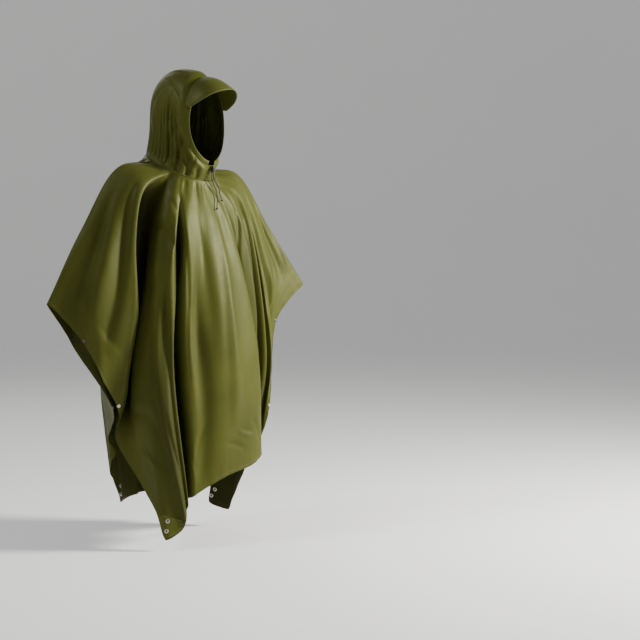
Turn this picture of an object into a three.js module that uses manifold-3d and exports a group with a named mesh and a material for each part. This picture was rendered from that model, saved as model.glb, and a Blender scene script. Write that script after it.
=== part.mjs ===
// Rain poncho with a visored hood, as a hollow form filled out with no wearer in it.
// Millimetres, +Z up. The front faces -Y and the wearer's left is +X.
// The origin is the middle of the neck, where the shoulders carry the cloth.
import * as THREE from "three";
import { mergeVertices } from "three/addons/utils/BufferGeometryUtils.js";
import Module from "manifold-3d";

const wasm = await Module();
wasm.setup();

// The cut of the sheet, its cloth wall, and the gap that pieces keep at their seams.
const HALF_WIDTH = 725;
const HALF_LENGTH = 1050;
const NECK_RADIUS = 105;
const CLOTH = 1.6;
const GAP = 0.3;
const SEAM_SHIFT = 0.6 * GAP;
const NECK_SHIFT = 0.35;

// The neck seam dips at the throat, which looks a little to the wearer's left, as the hood does.
const HOOD_TURN = 12;
const NECK_MEAN_UP = -12;
const THROAT_DIP = 46;

// The gathers of the neck seam, on the sheet and on the hood.
const NECK_GATHERS = 20;
const NECK_GATHER_DEPTH = 3;
const GATHER_FADE = 0.16;
const HOOD_GATHER_DEPTH = 6;

// The hood: the throat seam's top, the brow, and the half width of the face opening.
const THROAT_TOP = { front: 120, up: -12 };
const FACE_HALF_WIDTH = 90;
const FACE_SET_BACK = 24;
const CASING_WIDTH = 12;
const CASING_WALL = 2.4;

// The visor: its reach forward of the brow, the height of its arch and its board.
const VISOR = { half: 90, reach: 86, ends: 158, arch: 56, board: 2.6, raise: 3.6, crown: 9 };

// Corner patches, eyelets and press studs.
const PATCH = { leg: 90, wall: 1.2, inset: 3, rows: 5 };
const EYELET = { hole: 4, barrel: 5, flange: 8, lip: 1.1, places: [20, 40], sides: 8 };
const STUD = { cap: 6, dome: 2.6, post: 2, disc: 4.5, discWall: 1.6, inset: 11, open: 180, closed: 400, sides: 8 };
const LIFTS = [0, 0.4, 0.8, 1.2];

// The drawcord: its thickness, the knots at its ends, and the lock that it leaves.
const CORD = { radius: 1.4, sides: 8, steps: 20, knot: 4 };
const LOCK = { radius: 6, length: 18, drop: 11, ahead: 4.3, sides: 12 };

// Rows and columns of the walls.
const BODY_ROWS = 15;
const FRONT_COLUMNS = [19, 27, 17];
const BACK_COLUMNS = [16, 11];
const HOOD_ROWS = 9;
const HOOD_COLUMNS = 26;

const rad = THREE.MathUtils.degToRad;
const deg = THREE.MathUtils.radToDeg;
const mix = THREE.MathUtils.lerp;
const smooth = (a, b, x) => THREE.MathUtils.smoothstep(x, a, b);
const steps = (count) => Array.from({ length: count + 1 }, (_, i) => i / count);
const CORNER = deg(Math.atan2(HALF_WIDTH, HALF_LENGTH));

const finish = (color, roughness, metalness = 0) =>
  new THREE.MeshStandardMaterial({ color, roughness, metalness });
const cloth = () => finish(0x6a6a3a, 0.45);
const edging = () => finish(0x55552f, 0.5);
const metal = () => finish(0xb9b4a4, 0.35, 1);
const black = () => finish(0x1b1c18, 0.5);

// A table has a row of column names, then a row of numbers for each section or fold.
function table(columns, rows) {
  return rows.map((row) => Object.fromEntries(columns.map((name, i) => [name, row[i]])));
}

// A row for each ray of the sheet, from the back round the wearer's right side to the front and on
// to the back. The angle is from the front, and to the wearer's left is positive. On each ray the
// cloth passes the yoke, its middle and the hem, each as side (left is positive), front and up.
const RAYS = table(
  ["angle", "yokeSide", "yokeFront", "yokeUp", "midSide", "midFront", "midUp", "hemSide", "hemFront", "hemUp"],
  [
    [-180, 0, -160, -150, 0, -195, -560, 0, -170, -1025],
    [-163, -85, -150, -140, -80, -190, -565, -55, -132, -1020],
    [-149, -120, -139, -134, -147, -170, -585, -112, -112, -1032],
    [-145.38, -130, -135, -132, -165, -165, -590, -190, -80, -1042],
    [-142.8, -139, -130, -126, -177, -158, -580, -202, -84, -958],
    [-136, -160, -118, -110, -205, -140, -555, -212, -88, -915],
    [-127, -185, -90, -85, -240, -110, -490, -222, -84, -850],
    [-119, -200, -62, -58, -275, -88, -440, -272, 8, -745],
    [-104, -212, -40, -30, -325, -85, -310, -345, -100, -545],
    [-90, -214, -18, -14, -340, -45, -205, -448, -76, -424],
    [-76, -210, 15, -34, -330, 10, -300, -360, -20, -540],
    [-68, -206, 45, -62, -285, 50, -390, -326, 22, -640],
    [-61, -195, 65, -95, -240, 66, -450, -268, 24, -738],
    [-52, -150, 42, -118, -202, 4, -510, -248, -14, -830],
    [-42, -135, 100, -165, -214, 36, -600, -205, 70, -985],
    [-37.2, -128, 120, -190, -207, 80, -635, -198, 118, -1050],
    [-34.62, -125, 130, -200, -203, 102, -650, -190, 150, -1128],
    [-31, -114, 136, -207, -192, 122, -645, -142, 174, -1096],
    [-24, -90, 145, -218, -165, 150, -630, -132, 179, -1058],
    [-16, -62, 146, -225, -132, 156, -610, -124, 180, -1022],
    [-8, -38, 150, -232, -88, 168, -600, -108, 182, -1005],
    [0, 0, 158, -236, 0, 205, -580, -5, 212, -950],
    [9, 50, 145, -222, 85, 200, -560, 95, 218, -925],
    [16, 92, 138, -202, 152, 182, -545, 155, 200, -900],
    [22, 112, 112, -186, 165, 135, -560, 180, 130, -915],
    [28, 140, 112, -172, 198, 135, -575, 210, 0, -1068],
    [31, 152, 105, -168, 212, 112, -590, 208, -20, -1105],
    [34.62, 165, 95, -160, 225, 88, -600, 192, -92, -1085],
    [37.2, 171, 90, -151, 237, 90, -598, 204, -72, -1002],
    [45, 190, 72, -128, 272, 95, -590, 235, 0, -960],
    [54, 200, 58, -98, 285, 95, -530, 280, 65, -860],
    [61, 206, 45, -75, 290, 85, -460, 300, 78, -775],
    [76, 214, 22, -44, 330, 50, -320, 345, 60, -505],
    [90, 218, 0, -24, 350, 25, -205, 468, 62, -385],
    [104, 214, -25, -36, 325, -25, -310, 350, -5, -520],
    [119, 200, -55, -60, 280, -60, -440, 303, 62, -778],
    [127, 185, -90, -85, 245, -100, -500, 262, -50, -860],
    [136, 160, -118, -110, 205, -135, -555, 230, -82, -905],
    [142.8, 139, -130, -126, 177, -158, -580, 222, -98, -935],
    [145.38, 130, -135, -132, 165, -165, -590, 215, -112, -1018],
    [149, 120, -139, -134, 147, -170, -585, 135, -140, -1016],
    [163, 85, -150, -140, 80, -190, -565, 70, -150, -1016],
    [180, 0, -160, -150, 0, -195, -560, 0, -170, -1025],
  ],
);
const RAY_SHARES = [0, 0.2, 0.55, 1];

// A row for each large fold: the rays that it crosses at the yoke, the middle and the hem, its
// width as an angle, its depth (a ridge is negative), and the shares of the way out between which
// it runs.
const FOLDS = table(
  ["yoke", "middle", "hem", "width", "depth", "start", "end"],
  [
    [-31, -17, -12, 2.6, 66, 0.05, 1.25],
    [-14, -6, -5, 1.6, 9, 0.3, 1.1],
    [18, 19, 20, 2.4, 34, 0.05, 1.3],
    [6, 4, 3, 2.5, -12, 0.1, 0.9],
    [-42, -25, -21, 2, 9, 0.2, 1.2],
    [-46, -31, -28, 2.4, -10, 0.2, 1.2],
    [-54, -52, -52, 4.6, 56, 0.03, 0.96],
    [-62, -58, -57, 2.6, -20, 0.35, 1.1],
    [-68, -68, -70, 2.2, 14, 0.15, 0.95],
    [-78, -79, -81, 2.6, 16, 0.3, 1],
    [-73, -73, -75, 2, -9, 0.3, 1],
    [44, 38, 38, 3, 30, 0.08, 1.1],
    [54, 50, 50, 3, 16, 0.2, 1.1],
    [68, 69, 70, 3, 18, 0.2, 1],
    [82, 82, 83, 2, 9, 0.3, 0.9],
    [-97, -98, -98, 2.6, 12, 0.3, 0.95],
    [-113, -112, -112, 3.2, 20, 0.15, 0.92],
    [-128, -131, -132, 3, 26, 0.1, 1.2],
    [-138, -141, -142, 2.2, -12, 0.2, 1.2],
    [-146, -153, -155, 2.8, 38, 0.06, 1.25],
    [-164, -170, -171, 2.4, 26, 0.1, 1.25],
    [168, 172, 173, 2.6, 30, 0.08, 1.25],
    [148, 155, 157, 3, 40, 0.06, 1.25],
    [140, 147, 149, 2, -14, 0.3, 1.2],
    [128, 131, 132, 3, 24, 0.1, 1.2],
    [113, 112, 112, 3.2, 18, 0.15, 0.92],
    [97, 98, 98, 2.4, 10, 0.3, 0.95],
  ],
);

// A row for each loop of the hood, from the face edge (0) over the crown to the neck seam (1):
// the top of the loop on the centre seam, and the loop's half width.
const LOOPS = table(
  ["share", "topFront", "topUp", "halfWidth"],
  [
    [0, 115, 243, FACE_HALF_WIDTH],
    [0.18, 72, 275, 97],
    [0.36, 10, 284, 101],
    [0.54, -56, 258, 101],
    [0.7, -88, 198, 99],
    [0.85, -94, 110, 99],
    [1, -NECK_RADIUS, NECK_MEAN_UP + THROAT_DIP, NECK_RADIUS],
  ],
);

// The two free ends of the drawcord, down from the lock to their knots.
const CORD_ROUTES = {
  right: table(["side", "front", "up"], [
    [23, 121, -32.3], [22, 121, -46], [27, 120, -62], [36, 120, -80],
    [42, 122, -98], [41, 125, -114], [36, 129, -128], [33, 132, -140],
  ]),
  left: table(["side", "front", "up"], [
    [28, 120, -32.3], [30, 120, -46], [38, 118, -58], [48, 117, -72],
    [54, 119, -88], [55, 122, -102], [58, 125, -114],
  ]),
};

// A smooth curve through values at rising places, which never overshoots them.
function curveThrough(places, values) {
  const n = places.length;
  const width = places.slice(1).map((x, i) => x - places[i]);
  const slope = width.map((w, i) => (values[i + 1] - values[i]) / w);
  const tangent = slope.map((after, i) => {
    if (i === 0) return after;
    const before = slope[i - 1];
    if (after * before <= 0) return 0;
    const [w1, w2] = [width[i - 1], width[i]];
    return (3 * (w1 + w2)) / ((2 * w2 + w1) / before + (2 * w1 + w2) / after);
  });
  tangent.push(slope[n - 2]);
  return (x) => {
    const found = places.findIndex((place) => place > x);
    const i = found === -1 ? n - 2 : Math.max(found - 1, 0);
    const t = THREE.MathUtils.clamp((x - places[i]) / width[i], 0, 1);
    return hermite(values[i], tangent[i] * width[i], values[i + 1], tangent[i + 1] * width[i], t);
  };
}

function hermite(from, leave, to, arrive, t) {
  const [t2, t3] = [t * t, t * t * t];
  return (2 * t3 - 3 * t2 + 1) * from + (t3 - 2 * t2 + t) * leave
    + (3 * t2 - 2 * t3) * to + (t3 - t2) * arrive;
}

// A flowing curve through the four points of a ray.
function flowThrough(values, x) {
  const places = RAY_SHARES;
  const last = places.length - 1;
  const slope = (k) => (values[k + 1] - values[k]) / (places[k + 1] - places[k]);
  const tangent = (k) => {
    if (k === 0) return slope(0);
    if (k === last) return slope(last - 1);
    const before = places[k] - places[k - 1];
    const after = places[k + 1] - places[k];
    return (slope(k - 1) * after + slope(k) * before) / (before + after);
  };
  const i = x < places[1] ? 0 : (x < places[2] ? 1 : 2);
  const h = places[i + 1] - places[i];
  return hermite(values[i], tangent(i) * h, values[i + 1], tangent(i + 1) * h, (x - places[i]) / h);
}

const rayCurves = Object.fromEntries(
  Object.keys(RAYS[0]).map((name) => [name, curveThrough(RAYS.map((r) => r.angle), RAYS.map((r) => r[name]))]),
);
const loopCurves = Object.fromEntries(
  Object.keys(LOOPS[0]).map((name) => [name, curveThrough(LOOPS.map((r) => r.share), LOOPS.map((r) => r[name]))]),
);

const UP = new THREE.Vector3(0, 0, 1);
const point = (side, front, up) => new THREE.Vector3(side, -front, up);
const wrap = (angle) => THREE.MathUtils.euclideanModulo(angle + 180, 360) - 180;

// The neck seam's point on a ray.
function neckPoint(angle) {
  const dip = THROAT_DIP * Math.cos(rad(angle - HOOD_TURN));
  return point(NECK_RADIUS * Math.sin(rad(angle)), NECK_RADIUS * Math.cos(rad(angle)), NECK_MEAN_UP - dip);
}

// The neck seam's face on a ray: its normal, between the hood's and the sheet's, and the way down.
function neckFace(angle) {
  const turn = 0.5;
  const sheetDown = drape(angle, 0.02).sub(neckPoint(angle));
  const around = neckPoint(angle + turn).sub(neckPoint(angle - turn));
  const hoodNormal = neckPoint(angle).setZ(0).normalize();
  const normal = sheetDown.cross(around).normalize().add(hoodNormal).normalize();
  return { normal, down: around.cross(normal).normalize() };
}

// How far the sheet reaches from the neck's middle along a ray, on the flat.
function sheetReach(angle) {
  const across = HALF_WIDTH / Math.max(Math.abs(Math.sin(rad(angle))), 1e-9);
  const along = HALF_LENGTH / Math.max(Math.abs(Math.cos(rad(angle))), 1e-9);
  return Math.min(across, along);
}

// The smooth sheet before its folds: share is 0 at the neck seam and 1 at the hem.
function drape(angle, share) {
  const at = (name) => rayCurves[name](angle);
  const neck = neckPoint(angle);
  return point(
    flowThrough([neck.x, at("yokeSide"), at("midSide"), at("hemSide")], share),
    flowThrough([-neck.y, at("yokeFront"), at("midFront"), at("hemFront")], share),
    flowThrough([neck.z, at("yokeUp"), at("midUp"), at("hemUp")], share),
  );
}

// How deep all the folds are at one place.
function foldDepth(angle, share) {
  let depth = 0;
  for (const fold of FOLDS) {
    const { yoke, middle, hem } = fold;
    const neck = yoke - (middle - yoke) * 0.5;
    const away = wrap(angle - flowThrough([neck, yoke, middle, hem], share));
    const rise = smooth(fold.start, fold.start + 0.22, share);
    const fade = 1 - smooth(fold.end - 0.25, fold.end, share);
    depth += fold.depth * Math.exp(-((away / fold.width) ** 2)) * rise * fade * mix(0.75, 1, share);
  }
  const gather = 0.5 - 0.5 * Math.cos(NECK_GATHERS * rad(angle - HOOD_TURN));
  const near = smooth(0, 0.03, share) * (1 - smooth(0.05, GATHER_FADE, share));
  return depth + NECK_GATHER_DEPTH * gather * near;
}

// The folded sheet. The folds sink along the cloth's own face.
function sheetPoint(angle, share) {
  const turn = 0.25;
  const out = 0.01;
  const around = drape(wrap(angle + turn), share).sub(drape(wrap(angle - turn), share));
  const down = drape(angle, Math.min(share + out, 1)).sub(drape(angle, Math.max(share - out, 0)));
  const outward = down.cross(around).normalize();
  return drape(angle, share).addScaledVector(outward, -foldDepth(angle, share));
}

// The ray and the share of a place of the flat cut, left of the middle and forward of the shoulders.
function placeOfCut(left, forward) {
  const angle = deg(Math.atan2(left, forward));
  const share = (Math.hypot(left, forward) - NECK_RADIUS) / (sheetReach(angle) - NECK_RADIUS);
  return { angle, share };
}

// A place of the cut on a panel's own facets.
function facetPoint(grid, left, forward) {
  const { angle, share } = placeOfCut(left, forward);
  const columns = grid[0].length - 1;
  const turnFrom = (j) => wrap(angle - grid[0][j].angle);
  let j = 1;
  while (j < columns - 1 && !(turnFrom(j) >= 0 && turnFrom(j) < 90 && turnFrom(j + 1) < 0)) j++;
  let i = 0;
  while (i < grid.length - 2 && grid[i + 1][j].share < share) i++;
  const t = turnFrom(j) / (turnFrom(j) - turnFrom(j + 1));
  const [near, far] = [grid[i], grid[i + 1]];
  const u = (share - near[j].share) / (far[j].share - near[j].share);
  return near[j].clone().lerp(near[j + 1], t).lerp(far[j].clone().lerp(far[j + 1], t), u);
}

// The face of the cloth round a place of the cut, out from the wearer.
function facetFacing(grid, left, forward, reach) {
  const across = facetPoint(grid, left + reach, forward).sub(facetPoint(grid, left - reach, forward));
  const ahead = facetPoint(grid, left, forward + reach).sub(facetPoint(grid, left, forward - reach));
  return across.cross(ahead).normalize();
}

// The way down a column of a grid.
function downAt(grid, i, j) {
  return grid[Math.min(i + 1, grid.length - 1)][j].clone().sub(grid[Math.max(i - 1, 0)][j]);
}

// A wall from a grid of middle points, with its faces half its thickness away along the grid's
// normals. Where spare is 1, the grid's first and last column only give the normals of their
// neighbours. raise moves the wall out, as for what lies on a panel.
function wall(grid, thickness, { raise = 0, spare = 0 } = {}) {
  const rows = grid.length;
  const columns = grid[0].length - 2 * spare;
  const normalAt = (i, j) => {
    if (grid.neckNormals?.[i]) return grid.neckNormals[i][j];
    if (grid.seamNormals?.[j]) return grid.seamNormals[j][i];
    const down = downAt(grid, i, j);
    const end = grid[i].length - 1;
    const around = grid[i][Math.min(j + 1, end)].clone().sub(grid[i][Math.max(j - 1, 0)]);
    return down.cross(around).normalize();
  };
  const positions = [];
  for (const side of [1, -1]) {
    for (let i = 0; i < rows; i++) {
      for (let j = spare; j < columns + spare; j++) {
        const p = grid[i][j].clone().addScaledVector(normalAt(i, j), raise + (side * thickness) / 2);
        positions.push(p.x, p.y, p.z);
      }
    }
  }
  const at = (i, j, inner) => inner * rows * columns + i * columns + j;
  const faces = [];
  const quad = (a, b, c, d) => faces.push(a, b, c, a, c, d);
  for (let i = 0; i < rows - 1; i++) {
    for (let j = 0; j < columns - 1; j++) {
      quad(at(i, j, 0), at(i + 1, j, 0), at(i + 1, j + 1, 0), at(i, j + 1, 0));
      quad(at(i, j, 1), at(i, j + 1, 1), at(i + 1, j + 1, 1), at(i + 1, j, 1));
    }
  }
  const [bottom, right] = [rows - 1, columns - 1];
  for (let j = 0; j < right; j++) {
    quad(at(0, j, 1), at(0, j, 0), at(0, j + 1, 0), at(0, j + 1, 1));
    quad(at(bottom, j, 0), at(bottom, j, 1), at(bottom, j + 1, 1), at(bottom, j + 1, 0));
  }
  for (let i = 0; i < bottom; i++) {
    quad(at(i, 0, 0), at(i, 0, 1), at(i + 1, 0, 1), at(i + 1, 0, 0));
    quad(at(i, right, 1), at(i, right, 0), at(i + 1, right, 0), at(i + 1, right, 1));
  }
  const geometry = new THREE.BufferGeometry();
  geometry.setAttribute("position", new THREE.Float32BufferAttribute(positions, 3));
  geometry.setIndex(faces);
  return geometry;
}

// A geometry as a solid for cutting, and back.
function solid(geometry) {
  const bare = geometry.clone();
  bare.deleteAttribute("normal");
  bare.deleteAttribute("uv");
  const merged = mergeVertices(bare, 1e-3);
  return new wasm.Manifold(new wasm.Mesh({
    numProp: 3,
    vertProperties: new Float32Array(merged.getAttribute("position").array),
    triVerts: new Uint32Array(merged.index.array),
  }));
}

function geometryOf(manifold) {
  const largest = manifold.decompose().sort((a, b) => b.volume() - a.volume())[0];
  const mesh = largest.getMesh();
  const geometry = new THREE.BufferGeometry();
  geometry.setAttribute("position", new THREE.Float32BufferAttribute(mesh.vertProperties, 3));
  geometry.setIndex(Array.from(mesh.triVerts));
  return geometry;
}

// Angles between two rays, so spaced that the columns lie evenly along the folded cloth.
function evenAngles(from, to, count) {
  const parts = 400;
  const section = 0.8;
  const flatShare = 0.35;
  const lengths = [0];
  let last = sheetPoint(wrap(from), section);
  for (let k = 1; k <= parts; k++) {
    const next = sheetPoint(wrap(mix(from, to, k / parts)), section);
    lengths.push(lengths[k - 1] + next.distanceTo(last));
    last = next;
  }
  const reached = (k) => mix(lengths[k] / lengths[parts], k / parts, flatShare);
  return Array.from({ length: count }, (_, i) => {
    const goal = i / count;
    let k = 0;
    while (reached(k + 1) <= goal) k++;
    const t = (goal - reached(k)) / (reached(k + 1) - reached(k));
    return mix(from, to, (k + t) / parts);
  });
}

// One panel of the sheet, between rays, as a grid of middle points. A spare column past each end
// lets two panels that meet share the normals of their seam.
function panel(corners, counts) {
  const spareTurn = 1.5;
  const bodyShares = steps(BODY_ROWS).map((t) => mix(t * t, t, 0.45 + 0.55 * t));
  const inner = corners.slice(0, -1).flatMap((from, k) => evenAngles(from, corners[k + 1], counts[k]));
  const last = corners[corners.length - 1];
  const angles = [corners[0] - spareTurn, ...inner, last, last + spareTurn];
  const grid = bodyShares.map((share) => angles.map((angle) => (
    Object.assign(sheetPoint(wrap(angle), share), { share, angle })
  )));
  const faces = angles.map((angle) => neckFace(wrap(angle)));
  faces.forEach(({ down }, j) => grid[0][j].addScaledVector(down, NECK_SHIFT));
  grid.neckNormals = { 0: faces.map((face) => face.normal) };
  return seamEnds(grid, angles, spareTurn);
}

// Pulls the two end columns of a panel half a gap inwards, across the seam's own face, and keeps
// the normals that both panels share there.
function seamEnds(grid, angles, turn) {
  grid.seamNormals = {};
  for (const [column, inward] of [[1, 1], [angles.length - 2, -1]]) {
    const centre = angles[column];
    grid.seamNormals[column] = grid.map((row, i) => {
      const down = downAt(grid, i, column);
      const share = row[column].share;
      const around = sheetPoint(wrap(centre + turn), share).sub(sheetPoint(wrap(centre - turn), share));
      row[column].across = around.clone().addScaledVector(down, -around.dot(down) / down.lengthSq()).normalize();
      return down.cross(around).normalize();
    });
    for (const row of grid) row[column].addScaledVector(row[column].across, inward * SEAM_SHIFT);
  }
  return grid;
}

// A point of the hood: loop is 0 at the face edge and 1 at the neck seam, round is 0 at the throat
// and 1 on the centre seam over the crown. half is 1 for the wearer's left and -1 for the right.
function hoodPoint(loop, round, half) {
  const at = (name) => loopCurves[name](loop);
  const along = (1 - Math.cos(Math.PI * round)) / 2;
  const out = Math.sin(Math.PI * round);
  const throat = {
    front: mix(THROAT_TOP.front, NECK_RADIUS, loop),
    up: mix(THROAT_TOP.up, NECK_MEAN_UP - THROAT_DIP, loop),
  };
  const front = mix(throat.front, at("topFront"), along) - FACE_SET_BACK * out * (1 - smooth(0, 0.5, loop));
  const up = mix(throat.up, at("topUp"), along);
  const side = half * at("halfWidth") * out;
  const p = point(side, front, up);
  const away = point(side, front - mix(20, 0, loop), (up - 120) * (1 - loop)).normalize();
  p.addScaledVector(away, -hoodFold(loop, round, half));
  return p.applyAxisAngle(UP, rad(HOOD_TURN));
}

// The gathers of the hood, which rise from its neck seam and fade towards the crown and the face.
function hoodFold(loop, round, half) {
  const waves = NECK_GATHERS / 2;
  const gather = 0.5 - 0.5 * Math.cos(2 * Math.PI * waves * round);
  const uneven = 0.7 + 0.3 * Math.sin(7.3 * round + half);
  const near = smooth(0.3, 0.8, loop) * (1 - smooth(0.96, 1, loop));
  return HOOD_GATHER_DEPTH * gather * uneven * near * Math.sin(Math.PI * Math.min(1, 1.6 * round));
}

// One half of the hood as a grid, from the face edge down to the neck seam. Each half stops a
// little short of the centre seam and of the neck seam.
function hoodGrid(half) {
  const grid = steps(HOOD_ROWS).map((loop) => steps(HOOD_COLUMNS).map((round) => hoodPoint(loop, round, half)));
  const turned = new THREE.Vector3(half, 0, 0).applyAxisAngle(UP, rad(HOOD_TURN));
  const lowest = grid[HOOD_ROWS];
  const faces = lowest.map((p) => neckFace(deg(Math.atan2(p.x, -p.y))));
  faces.forEach(({ down }, j) => lowest[j].addScaledVector(down, -NECK_SHIFT));
  for (const p of grid.flat()) {
    const side = p.dot(turned);
    if (side < SEAM_SHIFT) p.addScaledVector(turned, SEAM_SHIFT - side);
  }
  if (half < 0) [...grid, faces].forEach((row) => row.reverse());
  grid.neckNormals = { [HOOD_ROWS]: faces.map((face) => face.normal) };
  const centreNormals = (j, around) => grid.map((row, i) => downAt(grid, i, j).cross(around).normalize());
  grid.seamNormals = {
    0: centreNormals(0, turned),
    [HOOD_COLUMNS]: centreNormals(HOOD_COLUMNS, turned.clone().negate()),
  };
  return grid;
}

// The casing of the face opening: a narrow strip forward of the hood's face edge.
function casingGrid(half) {
  const near = 0.04;
  const rounds = steps(HOOD_COLUMNS - 6).map((t) => mix(0.05, 0.985, t));
  const grid = [CASING_WIDTH + GAP, (CASING_WIDTH + GAP) / 2, GAP].map((ahead) => rounds.map((round) => {
    const edge = hoodPoint(0, round, half);
    const forward = edge.clone().sub(hoodPoint(near, round, half)).setLength(ahead);
    return edge.add(forward);
  }));
  if (half < 0) grid.forEach((row) => row.reverse());
  return grid;
}

// The visor: from its seam on the brow out to the arched free edge. Its seam lies on the hood.
function visorGrid() {
  const seamLoop = 0.05;
  const seamEnd = 0.6;
  return steps(5).map((t) => 1 - t).map((out) => steps(22).map((t) => {
    const across = mix(-1, 1, t);
    const quarter = (across * Math.PI) / 2;
    const half = across < 0 ? -1 : 1;
    const round = mix(1, seamEnd, Math.abs(across) ** 1.15);
    const seam = hoodPoint(seamLoop, round, half);
    const outward = hoodPoint(seamLoop, round, half).sub(point(0, 40, 120)).normalize();
    seam.addScaledVector(outward, VISOR.raise);
    const edge = point(
      (VISOR.half + VISOR.raise) * Math.sin(quarter),
      106 + VISOR.reach * Math.cos(quarter),
      VISOR.ends + VISOR.arch * Math.cos(quarter) ** 1.2,
    ).applyAxisAngle(UP, rad(HOOD_TURN));
    const crown = VISOR.crown * Math.sin(Math.PI * out) * Math.cos(quarter);
    return seam.lerp(edge, out).addScaledVector(UP, crown);
  }));
}

// A piece cut clear of its neighbours, each given as a grid and wall, by the gap.
function clearOf(geometry, neighbours) {
  let body = solid(geometry);
  for (const { grid, thickness, spare } of neighbours) {
    body = body.subtract(solid(wall(grid, thickness + 2 * GAP, { spare })));
  }
  return geometryOf(body);
}

const group = new THREE.Group();

function add(name, geometry, material) {
  const mesh = new THREE.Mesh(geometry, material);
  mesh.name = name;
  group.add(mesh);
  return mesh;
}

// The panels, as grids.
const frontGrid = panel([-90, -CORNER, CORNER, 90], FRONT_COLUMNS);
const backLeft = panel([90, 180 - CORNER, 180], BACK_COLUMNS);
const backRight = panel([-180, -180 + CORNER, -90], [...BACK_COLUMNS].reverse());
const backGrid = backLeft.map((line, i) => [...line.slice(0, -2), ...backRight[i].slice(2)]);
const backEnd = backGrid[0].length - 2;
backGrid.neckNormals = { 0: [...backLeft.neckNormals[0].slice(0, -2), ...backRight.neckNormals[0].slice(2)] };
backGrid.seamNormals = {
  1: backLeft.seamNormals[1],
  [backEnd]: backRight.seamNormals[backRight[0].length - 2],
};

const hoodRight = { grid: hoodGrid(-1), thickness: CLOTH };
const hoodLeft = { grid: hoodGrid(1), thickness: CLOTH };
const casingRight = { grid: casingGrid(-1), thickness: CASING_WALL };
const casingLeft = { grid: casingGrid(1), thickness: CASING_WALL };
add("hood_right", wall(hoodRight.grid, CLOTH), cloth());
add("hood_left", wall(hoodLeft.grid, CLOTH), cloth());
add("edge_casing_right", wall(casingRight.grid, CASING_WALL), edging());
add("edge_casing_left", wall(casingLeft.grid, CASING_WALL), edging());
const visorWall = wall(visorGrid(), VISOR.board);
add("visor", clearOf(visorWall, [hoodRight, hoodLeft, casingRight, casingLeft]), cloth());


// A turned piece that stands on the cloth: a profile of radius and height, at a place and facing.
function turned(profile, centre, facing, sides = 16) {
  const geometry = new THREE.LatheGeometry(profile.map(([r, h]) => new THREE.Vector2(r, h)), sides);
  geometry.applyQuaternion(new THREE.Quaternion().setFromUnitVectors(new THREE.Vector3(0, 1, 0), facing));
  return geometry.translate(centre.x, centre.y, centre.z);
}

// A straight pin for cutting a round hole at a place and facing.
function drill(radius, centre, facing) {
  const half = 9;
  return solid(turned([[0, -half], [radius, -half], [radius, half], [0, half]], centre, facing, 8));
}

// Places near a corner, by their distances from its side edge and its hem as the cloth hangs.
function nearCorner(panelGrid, right, ahead) {
  const probe = 60;
  const at = (x, y) => facetPoint(panelGrid, right * (HALF_WIDTH - x), ahead * (HALF_LENGTH - y));
  const corner = at(1, 1);
  const alongHem = corner.distanceTo(at(probe, 1)) / probe;
  const alongSide = corner.distanceTo(at(1, probe)) / probe;
  return (x, y) => [right * (HALF_WIDTH - x / alongHem), ahead * (HALF_LENGTH - y / alongSide)];
}

// A corner patch, made from the panel's own points and moved out. It narrows to the corner.
function cornerPatch(panelGrid, placeAt, flip) {
  const tip = 0.05;
  const { leg, inset, rows } = PATCH;
  const grid = steps(rows).map((t) => mix(tip, 1, t)).map((a) => steps(rows).map((b) => facetPoint(
    panelGrid, ...placeAt(leg * a * (1 - b) + inset, leg * a * b + inset),
  )));
  if (flip) grid.forEach((row) => row.reverse());
  return grid;
}

// An eyelet: a barrel through the cloth with a flange on each face.
function eyelet(centre, facing, lift) {
  const { hole, barrel, flange, lip, sides } = EYELET;
  const low = -CLOTH / 2 - 2 * GAP - lift;
  const high = CLOTH / 2 + PATCH.wall + 4 * GAP + lift;
  return turned([
    [hole, low - lip], [flange, low - lip], [flange, low], [barrel, low], [barrel, high],
    [flange, high], [flange - 1, high + lip], [hole, high + lip], [hole, low - lip],
  ], centre, facing, sides);
}

// A press stud: a domed cap outside the cloth, a post through it and a disc inside.
function pressStud(centre, facing, lift) {
  const { cap, dome, post, disc, discWall, sides } = STUD;
  const low = -CLOTH / 2 - GAP - lift;
  const high = CLOTH / 2 + GAP + lift;
  return turned([
    [0, low - discWall], [disc, low - discWall], [disc, low], [post, low], [post, high],
    [cap, high], [cap * 0.8, high + dome * 0.8], [0, high + dome],
  ], centre, facing, sides);
}

const panels = {};
for (const [face, grid] of [["front", frontGrid], ["back", backGrid]]) {
  const body = solid(wall(grid, CLOTH, { spare: 1 }));
  const clear = solid(wall(grid, CLOTH + 2 * GAP, { spare: 1 }));
  panels[face] = { grid, body, clear, ahead: face === "front" ? 1 : -1 };
}
const hardware = [];

// The first shape, of ones that stand further and further off the cloth, that clears what is near.
// Where none does, the last is trimmed.
function firstClear(make, near) {
  let piece;
  for (const lift of LIFTS) {
    piece = solid(make(lift));
    if (near.every((other) => piece.intersect(other).volume() === 0)) return piece;
  }
  return near.reduce((kept, other) => kept.subtract(other), piece);
}

// Seats a turned piece on a panel, in a round hole.
function seat(name, panelOf, place, holeRadius, make, others = []) {
  const centre = facetPoint(panelOf.grid, ...place);
  const facing = facetFacing(panelOf.grid, ...place, 9);
  const hole = drill(holeRadius + GAP, centre, facing);
  panelOf.body = panelOf.body.subtract(hole);
  const near = [panels.front.clear, panels.back.clear, ...others].map((clear) => clear.subtract(hole));
  const piece = firstClear((lift) => make(centre, facing, lift), near);
  hardware.push([name, geometryOf(piece), metal()]);
  return hole;
}

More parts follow.
